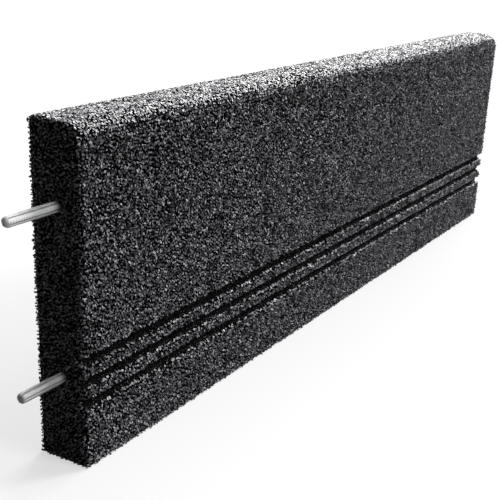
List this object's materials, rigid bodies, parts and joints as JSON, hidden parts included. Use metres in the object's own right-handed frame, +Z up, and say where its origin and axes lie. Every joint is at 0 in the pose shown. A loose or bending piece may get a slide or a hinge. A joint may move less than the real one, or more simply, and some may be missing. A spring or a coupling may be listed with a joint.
{
  "type": "rubber granulate kerb",
  "caption": "Upright kerb of bonded black rubber granulate with rounded top edges, lengthwise grooves in its front and plastic dowel pins standing out of one end.",
  "frame": {"origin": "middle of the block's bottom face", "axes": "+X along the kerb from the end with the pins to the end with the empty bores, +Y from the grooved front to the plain back, +Z up"},
  "size_m": [1.056, 0.052, 0.3],
  "materials": {
    "rubber_granulate": "coarse bonded black rubber granules, matt with small glossy facets",
    "dowel_plastic": "light grey moulded plastic with fine rings"
  },
  "bodies": {
    "root": {"kerb_block": "rubber_granulate", "upper_dowel_pin": "dowel_plastic", "lower_dowel_pin": "dowel_plastic"}
  },
  "joints": []
}
